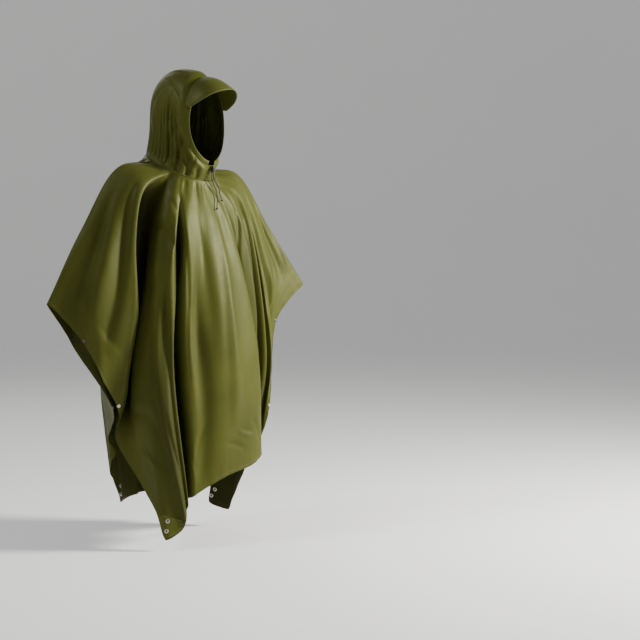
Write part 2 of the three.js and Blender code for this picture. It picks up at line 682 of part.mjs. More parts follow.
for (const [face, panelOf] of Object.entries(panels)) {
  for (const [side, right] of [["right", -1], ["left", 1]]) {
    const placeAt = nearCorner(panelOf.grid, right, panelOf.ahead);
    const grid = cornerPatch(panelOf.grid, placeAt, right * panelOf.ahead > 0);
    const raised = (lift) => CLOTH / 2 + GAP + lift + PATCH.wall / 2;
    const patch = firstClear((lift) => wall(grid, PATCH.wall, { raise: raised(lift) }), [panelOf.clear]);
    let kept = patch;
    EYELET.places.forEach((inset, k) => {
      const hole = seat(`eyelet_${face}_${side}_${k + 1}`, panelOf, placeAt(inset, inset), EYELET.barrel, eyelet, [patch]);
      kept = kept.subtract(hole);
    });
    add(`corner_patch_${face}_${side}`, geometryOf(kept), edging());
    for (const state of ["open", "closed"]) {
      const place = [right * (HALF_WIDTH - STUD.inset), panelOf.ahead * STUD[state]];
      seat(`press_stud_${face}_${side}_${state}`, panelOf, place, STUD.post, pressStud);
    }
  }
  add(`${face}_panel`, geometryOf(panelOf.body), cloth());
}
for (const [name, geometry, material] of hardware) add(name, geometry, material);

// The cord lock at the throat, the two free cord ends and their knots.
const throat = hoodPoint(0, 0, 1);
const ahead = point(0, 1, 0).applyAxisAngle(UP, rad(HOOD_TURN));
const lockCentre = throat.clone().addScaledVector(ahead, LOCK.ahead).addScaledVector(UP, -LOCK.drop);
const halfLock = LOCK.length / 2;
add("cord_lock", turned([
  [0, -halfLock], [LOCK.radius * 0.8, -halfLock], [LOCK.radius, -halfLock * 0.6], [LOCK.radius, halfLock * 0.3],
  [LOCK.radius * 0.62, halfLock * 0.4], [LOCK.radius * 0.62, halfLock], [0, halfLock],
], lockCentre, UP, LOCK.sides), black());

for (const [side, route] of Object.entries(CORD_ROUTES)) {
  const path = new THREE.CatmullRomCurve3(route.map((r) => point(r.side, r.front, r.up)));
  const section = new THREE.Shape(steps(CORD.sides).slice(1).map((t) => new THREE.Vector2(
    CORD.radius * Math.cos(2 * Math.PI * t),
    CORD.radius * Math.sin(2 * Math.PI * t),
  )));
  const tube = new THREE.ExtrudeGeometry(section, { steps: CORD.steps, extrudePath: path });
  add(`cord_end_${side}`, tube, black());
  const knot = new THREE.SphereGeometry(CORD.knot, 8, 6);
  const end = path.getPoint(1).addScaledVector(path.getTangent(1), CORD.knot + GAP / 2);
  add(`cord_knot_${side}`, knot.translate(end.x, end.y, end.z), black());
}

export default group;
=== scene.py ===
import math

import bpy
import numpy as np
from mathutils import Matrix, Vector


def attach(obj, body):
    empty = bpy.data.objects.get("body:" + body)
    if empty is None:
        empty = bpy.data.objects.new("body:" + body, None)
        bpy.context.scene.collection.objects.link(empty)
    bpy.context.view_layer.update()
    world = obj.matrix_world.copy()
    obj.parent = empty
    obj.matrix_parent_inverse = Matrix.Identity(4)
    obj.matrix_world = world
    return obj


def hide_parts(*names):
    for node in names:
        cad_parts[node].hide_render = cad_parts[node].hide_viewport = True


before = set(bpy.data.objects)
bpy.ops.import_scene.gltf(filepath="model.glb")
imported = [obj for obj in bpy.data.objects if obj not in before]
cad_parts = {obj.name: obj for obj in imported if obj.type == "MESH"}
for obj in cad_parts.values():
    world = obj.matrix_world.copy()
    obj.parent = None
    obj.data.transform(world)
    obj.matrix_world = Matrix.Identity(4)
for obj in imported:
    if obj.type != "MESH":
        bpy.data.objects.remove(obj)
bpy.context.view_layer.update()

# The cut of the sheet in millimetres, its neck, and the cloth's drawn thickness.
HALF_WIDTH = 725.0
HALF_LENGTH = 1050.0
NECK_RADIUS = 105.0
CLOTH = 0.9
MM = 0.001
CORNER = math.degrees(math.atan2(HALF_WIDTH, HALF_LENGTH))

# The neck seam and the hood.
HOOD_TURN = 12.0
NECK_MEAN_UP = -12.0
THROAT_DIP = 46.0
NECK_GATHERS = 20
THROAT_FRONT = 120.0
THROAT_UP = -12.0
FACE_HALF_WIDTH = 90.0
FACE_SET_BACK = 24.0
NECK_SHIFT = 0.2
NECK_GATHER_DEPTH = 3.6
NECK_PUCKER_DEPTH = 1.1
HOOD_CUT = 330.0

# Narrow folds of the back: depth in millimetres, and degrees from one to the next.
BACK_WAVE_DEPTH = 26.0
BACK_WAVE_STEP = 5.2

# The casing of the face opening and the visor, in millimetres.
CASING_RUN = 310.0
CASING_WIDTH = 12.0
VISOR_WIDTH = 300.0
VISOR_DEPTH = 100.0
VISOR_HALF = 93.6
VISOR_REACH = 86.0
VISOR_DROP = 56.0
VISOR_CROWN = 9.0

# Corner patches, eyelets, press studs and the drawcord, in millimetres.
PATCH_LEG = 90.0
PATCH_INSET = 3.0
EYELET_INSETS = (20, 40)
STUD_INSET = 11.0
STUD_PLACES = {"open": 180, "closed": 400}
CORD_RADIUS = 1.4
KNOT_SIZE = 0.82


def table(columns, rows):
    """Rows of numbers as arrays, one for each named column."""
    return {name: np.array([row[i] for row in rows], float) for i, name in enumerate(columns)}


RAYS = table(
    [
        "angle", "yokeSide", "yokeFront", "yokeUp", "midSide", "midFront", "midUp",
        "hemSide", "hemFront", "hemUp",
    ],
    [
        [-180, 0, -160, -150, 0, -195, -560, 0, -170, -1025],
        [-163, -85, -150, -140, -80, -190, -565, -55, -132, -1020],
        [-149, -120, -139, -134, -147, -170, -585, -112, -112, -1032],
        [-145.38, -130, -135, -132, -165, -165, -590, -190, -80, -1042],
        [-142.8, -139, -130, -126, -177, -158, -580, -202, -84, -958],
        [-136, -160, -118, -110, -205, -140, -555, -212, -88, -915],
        [-127, -185, -90, -85, -240, -110, -490, -222, -84, -850],
        [-119, -200, -62, -58, -275, -88, -440, -272, 8, -745],
        [-104, -212, -40, -30, -325, -85, -310, -345, -100, -545],
        [-90, -214, -18, -14, -340, -45, -205, -448, -76, -424],
        [-76, -210, 15, -34, -330, 10, -300, -360, -20, -540],
        [-68, -206, 45, -62, -285, 50, -390, -326, 22, -640],
        [-61, -195, 65, -95, -240, 66, -450, -268, 24, -738],
        [-52, -150, 42, -118, -202, 4, -510, -248, -14, -830],
        [-42, -135, 100, -165, -214, 36, -600, -205, 70, -985],
        [-37.2, -128, 120, -190, -207, 80, -635, -198, 118, -1050],
        [-34.62, -125, 130, -200, -203, 102, -650, -190, 150, -1128],
        [-31, -114, 136, -207, -192, 122, -645, -142, 174, -1096],
        [-24, -90, 145, -218, -165, 150, -630, -132, 179, -1058],
        [-16, -62, 146, -225, -132, 156, -610, -124, 180, -1022],
        [-8, -38, 150, -232, -88, 168, -600, -108, 182, -1005],
        [0, 0, 158, -236, 0, 205, -580, -5, 212, -950],
        [9, 50, 145, -222, 85, 200, -560, 95, 218, -925],
        [16, 92, 138, -202, 152, 182, -545, 155, 200, -900],
        [22, 112, 112, -186, 165, 135, -560, 180, 130, -915],
        [28, 140, 112, -172, 198, 135, -575, 210, 0, -1068],
        [31, 152, 105, -168, 212, 112, -590, 208, -20, -1105],
        [34.62, 165, 95, -160, 225, 88, -600, 192, -92, -1085],
        [37.2, 171, 90, -151, 237, 90, -598, 204, -72, -1002],
        [45, 190, 72, -128, 272, 95, -590, 235, 0, -960],
        [54, 200, 58, -98, 285, 95, -530, 280, 65, -860],
        [61, 206, 45, -75, 290, 85, -460, 300, 78, -775],
        [76, 214, 22, -44, 330, 50, -320, 345, 60, -505],
        [90, 218, 0, -24, 350, 25, -205, 468, 62, -385],
        [104, 214, -25, -36, 325, -25, -310, 350, -5, -520],
        [119, 200, -55, -60, 280, -60, -440, 303, 62, -778],
        [127, 185, -90, -85, 245, -100, -500, 262, -50, -860],
        [136, 160, -118, -110, 205, -135, -555, 230, -82, -905],
        [142.8, 139, -130, -126, 177, -158, -580, 222, -98, -935],
        [145.38, 130, -135, -132, 165, -165, -590, 215, -112, -1018],
        [149, 120, -139, -134, 147, -170, -585, 135, -140, -1016],
        [163, 85, -150, -140, 80, -190, -565, 70, -150, -1016],
        [180, 0, -160, -150, 0, -195, -560, 0, -170, -1025],
    ],
)
RAY_SHARES = [0.0, 0.2, 0.55, 1.0]

# The large folds: the rays crossed at the yoke, the middle and the hem, width, depth, start and end.
FOLDS = [
    [-31, -17, -12, 2.6, 66, 0.05, 1.25],
    [-14, -6, -5, 1.6, 9, 0.3, 1.1],
    [18, 19, 20, 2.4, 34, 0.05, 1.3],
    [6, 4, 3, 2.5, -12, 0.1, 0.9],
    [-42, -25, -21, 2, 9, 0.2, 1.2],
    [-46, -31, -28, 2.4, -10, 0.2, 1.2],
    [-54, -52, -52, 4.6, 56, 0.03, 0.96],
    [-62, -58, -57, 2.6, -20, 0.35, 1.1],
    [-68, -68, -70, 2.2, 14, 0.15, 0.95],
    [-78, -79, -81, 2.6, 16, 0.3, 1],
    [-73, -73, -75, 2, -9, 0.3, 1],
    [44, 38, 38, 3, 30, 0.08, 1.1],
    [54, 50, 50, 3, 16, 0.2, 1.1],
    [68, 69, 70, 3, 18, 0.2, 1],
    [82, 82, 83, 2, 9, 0.3, 0.9],
    [-97, -98, -98, 2.6, 12, 0.3, 0.95],
    [-113, -112, -112, 3.2, 20, 0.15, 0.92],
    [-128, -131, -132, 3, 26, 0.1, 1.2],
    [-138, -141, -142, 2.2, -12, 0.2, 1.2],
    [-146, -153, -155, 2.8, 38, 0.06, 1.25],
    [-164, -170, -171, 2.4, 26, 0.1, 1.25],
    [168, 172, 173, 2.6, 30, 0.08, 1.25],
    [148, 155, 157, 3, 40, 0.06, 1.25],
    [140, 147, 149, 2, -14, 0.3, 1.2],
    [128, 131, 132, 3, 24, 0.1, 1.2],
    [113, 112, 112, 3.2, 18, 0.15, 0.92],
    [97, 98, 98, 2.4, 10, 0.3, 0.95],
]

LOOPS = table(
    ["share", "topFront", "topUp", "halfWidth"],
    [
        [0, 115, 243, FACE_HALF_WIDTH],
        [0.18, 72, 275, 97],
        [0.36, 10, 284, 101],
        [0.54, -56, 258, 101],
        [0.7, -88, 198, 99],
        [0.85, -94, 110, 99],
        [1, -NECK_RADIUS, NECK_MEAN_UP + THROAT_DIP, NECK_RADIUS],
    ],
)

# Creases pressed and pulled into the sheet, in millimetres of the flat cut: from and to as left and
# forward of the neck's middle, half width, depth (a ridge is negative) and how far they bow.
CREASES = [
    [-330, 290, -300, 560, 16, 9, 14],
    [-420, 250, -470, 420, 13, -6, -10],
    [-250, 200, -215, 420, 12, 7, 8],
    [-160, 160, -120, 520, 10, 6, -12],
    [-135, 420, -95, 860, 12, -5, 10],
    [-60, 240, -30, 600, 14, 4, 8],
    [40, 200, 70, 640, 12, 5, -10],
    [120, 150, 150, 420, 9, 6, 10],
    [190, 170, 260, 460, 12, 6, -12],
    [330, 150, 420, 300, 15, 7, 12],
    [430, 120, 560, 210, 14, -6, 8],
    [300, 420, 330, 800, 16, 7, 10],
    [-520, 330, -600, 180, 18, 3, 12],
    [-380, 700, -420, 960, 14, 6, -10],
    [-560, 560, -480, 760, 15, 7, 12],
    [-640, 700, -560, 900, 12, -5, 8],
    [-20, 930, 120, 985, 8, 4, 8],
    [60, 900, 190, 950, 7, -4, -8],
    [150, 880, 250, 1010, 9, 5, 6],
    [-200, 880, -120, 1010, 10, -4, 6],
    [520, 640, 600, 800, 14, 6, 10],
    [-300, -250, -330, -540, 15, 8, -12],
    [-170, -180, -190, -480, 12, 6, 10],
    [-60, -220, -80, -700, 14, 5, -10],
    [70, -190, 60, -560, 13, -5, 12],
    [180, -200, 230, -520, 13, 7, -10],
    [330, -230, 380, -430, 15, 7, 12],
    [440, -160, 560, -240, 13, -6, 8],
    [-450, -160, -580, -230, 13, 6, -10],
    [-260, -700, -240, -960, 13, 6, 9],
    [260, -720, 250, -980, 13, -5, 9],
    [20, -820, -10, -1000, 11, 5, -8],
    [520, -520, 620, -700, 15, 6, 10],
    [-540, -560, -620, -760, 15, 6, -10],
    [-120, 960, -60, 820, 8, 4, 7],
    [360, 20, 620, 60, 13, 5, 10],
    [-360, -30, -610, -70, 13, 5, -9],
]


def hermite(start, leave, end, arrive, t):
    t2, t3 = t * t, t * t * t
    first = (2 * t3 - 3 * t2 + 1) * start + (t3 - 2 * t2 + t) * leave
    second = (3 * t2 - 2 * t3) * end + (t3 - t2) * arrive
    return first + second


def smooth(low, high, x):
    t = np.clip((x - low) / (high - low), 0, 1)
    return t * t * (3 - 2 * t)


def wrap(angle):
    return (np.asarray(angle, float) + 180) % 360 - 180


def curve(places, values, x):
    """A smooth curve through values at rising places, which never overshoots them."""
    width = np.diff(places)
    slope = np.diff(values) / width
    tangent = np.zeros(len(places))
    tangent[0], tangent[-1] = slope[0], slope[-1]
    for i in range(1, len(places) - 1):
        before, after = slope[i - 1], slope[i]
        if before * after > 0:
            w1, w2 = width[i - 1], width[i]
            tangent[i] = 3 * (w1 + w2) / ((2 * w2 + w1) / before + (2 * w1 + w2) / after)
    i = np.clip(np.searchsorted(places, x, side="right") - 1, 0, len(places) - 2)
    t = np.clip((x - places[i]) / width[i], 0, 1)
    return hermite(values[i], tangent[i] * width[i], values[i + 1], tangent[i + 1] * width[i], t)


def flow(values, x):
    """A flowing curve through the four points of a ray."""
    places = RAY_SHARES
    width = np.diff(places)
    slope = [(values[k + 1] - values[k]) / width[k] for k in range(3)]
    tangent = [slope[0]]
    for k in (1, 2):
        tangent.append((slope[k - 1] * width[k] + slope[k] * width[k - 1]) / (width[k - 1] + width[k]))
    tangent.append(slope[2])
    found = None
    for k in range(3):
        part = hermite(values[k], tangent[k] * width[k], values[k + 1], tangent[k + 1] * width[k],
                       (x - places[k]) / width[k])
        found = part if found is None else np.where(x >= places[k], part, found)
    return found


def point(side, front, up):
    return np.stack(np.broadcast_arrays(side, -np.asarray(front, float), up), axis=-1).astype(float)


def unit(v):
    return v / np.maximum(np.linalg.norm(v, axis=-1, keepdims=True), 1e-9)


def neck_point(angle):
    a = np.radians(angle)
    up = NECK_MEAN_UP - THROAT_DIP * np.cos(np.radians(angle - HOOD_TURN))
    return point(NECK_RADIUS * np.sin(a), NECK_RADIUS * np.cos(a), up)


def reach(angle):
    a = np.radians(angle)
    across = HALF_WIDTH / np.maximum(np.abs(np.sin(a)), 1e-9)
    along = HALF_LENGTH / np.maximum(np.abs(np.cos(a)), 1e-9)
    return np.minimum(across, along)


def drape(angle, share):
    at = {name: curve(RAYS["angle"], RAYS[name], angle) for name in RAYS}
    neck = neck_point(angle)
    return point(
        flow([neck[..., 0], at["yokeSide"], at["midSide"], at["hemSide"]], share),
        flow([-neck[..., 1], at["yokeFront"], at["midFront"], at["hemFront"]], share),
        flow([neck[..., 2], at["yokeUp"], at["midUp"], at["hemUp"]], share),
    )


def cut_place(angle, share):
    """Left and forward on the flat cut, in millimetres."""
    far = NECK_RADIUS + share * (reach(angle) - NECK_RADIUS)
    a = np.radians(angle)
    return far * np.sin(a), far * np.cos(a)


def crease_depth(left, forward):
    depth = np.zeros(np.shape(left))
    for x0, y0, x1, y1, width, deep, bow in CREASES:
        dx, dy = x1 - x0, y1 - y0
        length = math.hypot(dx, dy)
        t = ((left - x0) * dx + (forward - y0) * dy) / length**2
        off = ((left - x0) * dy - (forward - y0) * dx) / length
        tc = np.clip(t, -0.3, 1.3)
        off = off - bow * 4 * tc * (1 - tc)
        fade = smooth(-0.12, 0.3, t) * (1 - smooth(0.6, 1.12, t))
        trough = np.exp(-((off / width) ** 2))
        ridge = np.exp(-(((off - 2.0 * width) / (1.4 * width)) ** 2))
        depth += 0.62 * deep * fade * (trough - 0.45 * ridge)
    return depth


def fold_depth(angle, share):
    depth = np.zeros(np.broadcast(angle, share).shape)
    for yoke, middle, hem, width, deep, start, end in FOLDS:
        neck = yoke - (middle - yoke) * 0.5
        away = wrap(angle - flow([neck, yoke, middle, hem], share))
        rise = smooth(start, start + 0.22, share)
        fade = 1 - smooth(end - 0.25, end, share)
        depth += deep * np.exp(-((away / width) ** 2)) * rise * fade * (0.75 + 0.25 * share)
    return depth


def neck_gathers(angle, share):
    """Puckers that the neck seam gathers into the sheet, of uneven length."""
    a = np.radians(angle - HOOD_TURN)
    main = 0.5 - 0.5 * np.cos(NECK_GATHERS * a + 0.8 * np.sin(3 * a))
    fine = 0.5 - 0.5 * np.cos(47 * a + 1.1 * np.sin(5 * a))
    long = 0.17 + 0.06 * np.sin(6.3 * a + 1) + 0.04 * np.sin(11 * a)
    near = smooth(0.002, 0.03, share)
    main = NECK_GATHER_DEPTH * main * (1 - smooth(0.03, long, share))
    fine = NECK_PUCKER_DEPTH * fine * (1 - smooth(0.02, 0.09, share))
    return near * (main + fine)


def back_waves(angle, share):
    """Narrow folds of the back, where the sheet hangs closest, of uneven spacing and length."""
    a = np.abs(wrap(angle))
    phase = 2 * math.pi * (wrap(angle) % 360) / BACK_WAVE_STEP + 0.9 * np.sin(np.radians(angle) * 9)
    start = 0.26 + 0.1 * np.sin(np.radians(angle) * 31)
    rise = smooth(0, 0.4, share - start)
    uneven = 0.8 + 0.2 * np.sin(np.radians(angle) * 17)
    return BACK_WAVE_DEPTH * (0.5 - 0.5 * np.cos(phase)) * rise * smooth(139, 150, a) * uneven


def sheet_point(angle, share):
    """The folded and creased sheet, and the face of the smooth one."""
    angle, share = np.broadcast_arrays(np.asarray(angle, float), np.asarray(share, float))
    turn, out = 0.25, 0.01
    around = drape(wrap(angle + turn), share) - drape(wrap(angle - turn), share)
    down = drape(angle, np.minimum(share + out, 1)) - drape(angle, np.maximum(share - out, 0))
    outward = unit(np.cross(down, around))
    left, forward = cut_place(angle, share)
    hem = np.minimum(HALF_WIDTH - np.abs(left), HALF_LENGTH - np.abs(forward))
    along = np.where(HALF_WIDTH - np.abs(left) < HALF_LENGTH - np.abs(forward), forward, left)
    pucker = 0.7 * np.sin(along * 0.14 + 1.5 * np.sin(along / 130)) * np.exp(-np.maximum(hem, 0) / 24)
    depth = fold_depth(angle, share) + neck_gathers(angle, share) + back_waves(angle, share)
    depth = depth + pucker * smooth(0.1, 0.3, share)
    depth = depth + crease_depth(left, forward) * smooth(0.02, 0.12, share)
    return drape(angle, share) - outward * depth[..., None]


def hood_fold(loop, around, half):
    """Gathers that rise from the hood's neck seam and fade out, unevenly, towards the crown."""
    waves = NECK_GATHERS / 2
    main = (0.5 - 0.5 * np.cos(2 * math.pi * waves * around + 0.7 * np.sin(9 * around + half))) ** 1.4
    fine = 0.5 - 0.5 * np.cos(2 * math.pi * 23 * around + 1.2 * np.sin(13 * around))
    uneven = 0.7 + 0.3 * np.sin(7.3 * around + half)
    start = 0.2 + 0.16 * np.sin(17 * around + 2 * half)
    near = smooth(0, 1, (loop - start) / 0.45) * (1 - smooth(0.965, 1, loop))
    ends = np.sin(math.pi * np.minimum(1, 1.6 * around))
    low = smooth(0.75, 0.93, loop) * (1 - smooth(0.97, 1, loop))
    return (8.2 * main * uneven * near + 1.3 * fine * low) * ends


HOOD_CREASES = [
    [0.02, 0.42, 0.52, 0.66, 0.02, 3.2],
    [0.06, 0.3, 0.6, 0.42, 0.018, 2.8],
    [0.1, 0.2, 0.75, 0.24, 0.016, 3.0],
    [0.12, 0.62, 0.5, 0.86, 0.022, 3.0],
    [0.2, 0.9, 0.62, 0.93, 0.015, -2.2],
    [0.3, 0.52, 0.8, 0.56, 0.015, 2.4],
    [0.4, 0.74, 0.86, 0.72, 0.018, 3.0],
]

# Upright gathers on the side of the hood, in millimetres: how far forward their foot and their head
# are, how high the head is, half width and depth.
HOOD_GATHERS = [
    [-70, -42, 140, 6, 6],
    [-50, -26, 188, 6, 9],
    [-31, -10, 212, 7, 10],
    [-12, 4, 228, 7, 12],
    [7, 18, 218, 6, 10],
    [25, 32, 230, 7, 13],
    [42, 45, 216, 7, 12],
    [58, 57, 190, 6, 11],
    [72, 68, 155, 6, 9],
    [84, 78, 112, 6, 7],
]


def hood_point(loop, around, half):
    """loop is 0 at the face edge and 1 at the neck seam; around is 0 at the throat, 1 over the crown."""
    loop, around = np.broadcast_arrays(np.asarray(loop, float), np.asarray(around, float))
    at = {name: curve(LOOPS["share"], LOOPS[name], loop) for name in LOOPS}
    along = (1 - np.cos(math.pi * around)) / 2
    out = np.sin(math.pi * around)
    throat_front = THROAT_FRONT + (NECK_RADIUS - THROAT_FRONT) * loop
    throat_up = THROAT_UP + (NECK_MEAN_UP - THROAT_DIP - THROAT_UP) * loop
    front = throat_front + (at["topFront"] - throat_front) * along
    front = front - FACE_SET_BACK * out * (1 - smooth(0, 0.5, loop))
    up = throat_up + (at["topUp"] - throat_up) * along
    side = half * at["halfWidth"] * out
    away = unit(point(side, front - 20 * (1 - loop), (up - 120) * (1 - loop)))
    deep = hood_fold(loop, around, half)
    for l0, a0, l1, a1, width, amount in HOOD_CREASES:
        t = np.clip((loop - l0) / (l1 - l0), -0.5, 1.5)
        middle = a0 + (a1 - a0) * t + 0.015 * half * np.sin(3 * t)
        fade = smooth(0, 0.3, t) * (1 - smooth(0.65, 1, t))
        deep = deep + amount * fade * np.exp(-(((around - middle) / width) ** 2))
    for k, (foot, head, top, width, amount) in enumerate(HOOD_GATHERS):
        rise = (up + 28) / (top + 28 + 9 * half * math.sin(2.4 * k))
        middle = foot + (head - foot) * rise + 2.5 * np.sin(3.1 * rise + k + half)
        fade = smooth(0.02, 0.2, rise) * (1 - smooth(0.62, 1, rise)) * smooth(0.35, 0.75, out)
        groove = np.exp(-(((front - middle) / width) ** 2))
        deep = deep + amount * fade * groove * smooth(0.06, 0.2, loop) * (1 - smooth(0.93, 1, loop))
    return turned(point(side, front, up) - away * deep[..., None])


def turned(p, angle=HOOD_TURN):
    c, s = math.cos(math.radians(angle)), math.sin(math.radians(angle))
    return np.stack([p[..., 0] * c - p[..., 1] * s, p[..., 0] * s + p[..., 1] * c, p[..., 2]], axis=-1)


def normals_of(grid):
    down = np.gradient(grid, axis=0)
    around = np.gradient(grid, axis=1)
    return unit(np.cross(down, around))


def shell(name, grid, thickness, uv, hem, along, materials, raise_by=0.0, painted_shade=None):
    """A thin cloth wall on a grid of middle points in millimetres, with a flat cut in its UV map."""
    n = normals_of(grid)
    # painted_shade: how much shade is painted into the colour at each point, kept as a point attribute for
    # the material.
    painted_shade = np.zeros(grid.shape[:2]) if painted_shade is None else painted_shade / MM
    rows, columns = grid.shape[:2]
    outer = grid + n * (raise_by + thickness / 2)
    inner = grid + n * (raise_by - thickness / 2)
    verts = np.concatenate([outer.reshape(-1, 3), inner.reshape(-1, 3)]) * MM
    index = np.arange(rows * columns).reshape(rows, columns)
    back = index + rows * columns
    a, b, c, d = index[:-1, :-1], index[1:, :-1], index[1:, 1:], index[:-1, 1:]
    outside = np.stack([a, b, c, d], -1).reshape(-1, 4)
    inside = np.stack([back[:-1, :-1], back[:-1, 1:], back[1:, 1:], back[1:, :-1]], -1).reshape(-1, 4)
    rims = []
    for line, behind in (
        (index[0, ::-1], back[0, ::-1]), (index[-1], back[-1]), (index[:, 0], back[:, 0]),
        (index[::-1, -1], back[::-1, -1]),
    ):
        rims.append(np.stack([line[:-1], behind[:-1], behind[1:], line[1:]], -1))
    faces = np.concatenate([outside, inside, *rims])
    mesh = bpy.data.meshes.new(name)
    mesh.from_pydata(verts.tolist(), [], faces.tolist())
    slots = np.zeros(len(faces), int)
    slots[len(outside):len(outside) + len(inside)] = len(materials) - 1
    mesh.polygons.foreach_set("material_index", slots)
    layer = mesh.uv_layers.new(name="cut")
    loops = np.zeros(len(mesh.loops), int)
    mesh.loops.foreach_get("vertex_index", loops)
    flat = np.concatenate([uv.reshape(-1, 2)] * 2) * MM
    layer.data.foreach_set("uv", flat[loops].astype(np.float32).ravel())
    for label, values in (("hem", hem), ("along", along), ("painted_shade", painted_shade)):
        data = mesh.attributes.new(label, "FLOAT", "POINT")
        data.data.foreach_set("value", (np.concatenate([values.ravel()] * 2) * MM).astype(np.float32))
    mesh.shade_smooth()
    for m in materials:
        mesh.materials.append(m)
    obj = bpy.data.objects.new(name, mesh)
    bpy.context.scene.collection.objects.link(obj)
    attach(obj, "root")
    return obj


def group(name, inputs, outputs):
    """An empty shader group with named sockets, and its input and output nodes."""
    tree = bpy.data.node_groups.new(name, "ShaderNodeTree")
    for label, kind, value in inputs:
        socket = tree.interface.new_socket(label, in_out="INPUT", socket_type=kind)
        if value is not None:
            socket.default_value = value
    for label, kind in outputs:
        tree.interface.new_socket(label, in_out="OUTPUT", socket_type=kind)
    return tree, tree.nodes.new("NodeGroupInput"), tree.nodes.new("NodeGroupOutput")


def feed(tree, target, value):
    if isinstance(value, bpy.types.NodeSocket):
        tree.links.new(value, target)
    else:
        target.default_value = value


def maths(tree, operation, a, b=None):
    node = tree.nodes.new("ShaderNodeMath")
    node.operation = operation
    feed(tree, node.inputs[0], a)
    if b is not None:
        feed(tree, node.inputs[1], b)
    return node.outputs[0]


def noise(tree, vector, scale, detail=3.0, rough=0.5):
    node = tree.nodes.new("ShaderNodeTexNoise")
    feed(tree, node.inputs["Vector"], vector)
    node.inputs["Scale"].default_value = scale
    node.inputs["Detail"].default_value = detail
    node.inputs["Roughness"].default_value = rough
    return node.outputs["Fac"]


def stretched(tree, vector, scale, turn=0.0):
    node = tree.nodes.new("ShaderNodeMapping")
    feed(tree, node.inputs["Vector"], vector)
    node.inputs["Scale"].default_value = scale
    node.inputs["Rotation"].default_value = (0, 0, turn)
    return node.outputs["Vector"]


def remap(tree, value, low, high, to_low=0.0, to_high=1.0):
    node = tree.nodes.new("ShaderNodeMapRange")
    node.interpolation_type = "SMOOTHSTEP"
    feed(tree, node.inputs["Value"], value)
    for label, number in (("From Min", low), ("From Max", high), ("To Min", to_low), ("To Max", to_high)):
        node.inputs[label].default_value = number
    return node.outputs["Result"]


CUT_IN = [("Cut", "NodeSocketVector", None)]
HEIGHT_OUT = [("Height", "NodeSocketFloat")]


def crinkle_group():
    """Soft crinkles of coated cloth on its flat cut: long ones down the drape and small ones across."""
    tree, source, out = group("Crinkles", CUT_IN, HEIGHT_OUT)
    cut = source.outputs["Cut"]
    long = noise(tree, stretched(tree, cut, (17, 2.6, 1), 0.12), 1.0, 3.0, 0.55)
    crossing = noise(tree, stretched(tree, cut, (9, 24, 1), -0.6), 1.0, 3.0, 0.5)
    small = noise(tree, cut, 55.0, 2.0, 0.5)
    total = maths(tree, "MULTIPLY", long, 0.62)
    total = maths(tree, "ADD", total, maths(tree, "MULTIPLY", crossing, 0.26))
    total = maths(tree, "ADD", total, maths(tree, "MULTIPLY", small, 0.05))
    tree.links.new(total, out.inputs["Height"])
    return tree


def weave_group():
    """Fine plain weave on the flat cut, as a height."""
    tree, source, out = group("Weave", CUT_IN, HEIGHT_OUT)
    split = tree.nodes.new("ShaderNodeSeparateXYZ")
    tree.links.new(source.outputs["Cut"], split.inputs[0])
    threads = 2 * math.pi / 0.0011
    warp = maths(tree, "SINE", maths(tree, "MULTIPLY", split.outputs["X"], threads))
    weft = maths(tree, "SINE", maths(tree, "MULTIPLY", split.outputs["Y"], threads))
    total = maths(tree, "MULTIPLY", warp, weft)
    tree.links.new(total, out.inputs["Height"])
    return tree


def stitch_group():
    """A row of stitches at a distance from an edge: a mask of its threads and the groove it pulls."""
    tree, source, out = group(
        "Stitches",
        [
            ("Edge", "NodeSocketFloat", 0.0),
            ("Along", "NodeSocketFloat", 0.0),
            ("Distance", "NodeSocketFloat", 0.013),
        ],
        [("Thread", "NodeSocketFloat"), ("Groove", "NodeSocketFloat")],
    )
    off = maths(tree, "SUBTRACT", source.outputs["Edge"], source.outputs["Distance"])
    off = maths(tree, "ABSOLUTE", off)
    line = remap(tree, off, 0.00035, 0.0007, 1.0, 0.0)
    beat = maths(tree, "FRACT", maths(tree, "DIVIDE", source.outputs["Along"], 0.0034))
    gap = remap(tree, maths(tree, "ABSOLUTE", maths(tree, "SUBTRACT", beat, 0.5)), 0.3, 0.38, 1.0, 0.0)
    tree.links.new(maths(tree, "MULTIPLY", line, gap), out.inputs["Thread"])
    tree.links.new(remap(tree, off, 0.0, 0.0035, 1.0, 0.0), out.inputs["Groove"])
    return tree


GROUPS = {"crinkles": crinkle_group(), "weave": weave_group(), "stitches": stitch_group()}


def use(tree, name):
    node = tree.nodes.new("ShaderNodeGroup")
    node.node_tree = GROUPS[name]
    return node


STITCH_DEPTH = 0.12


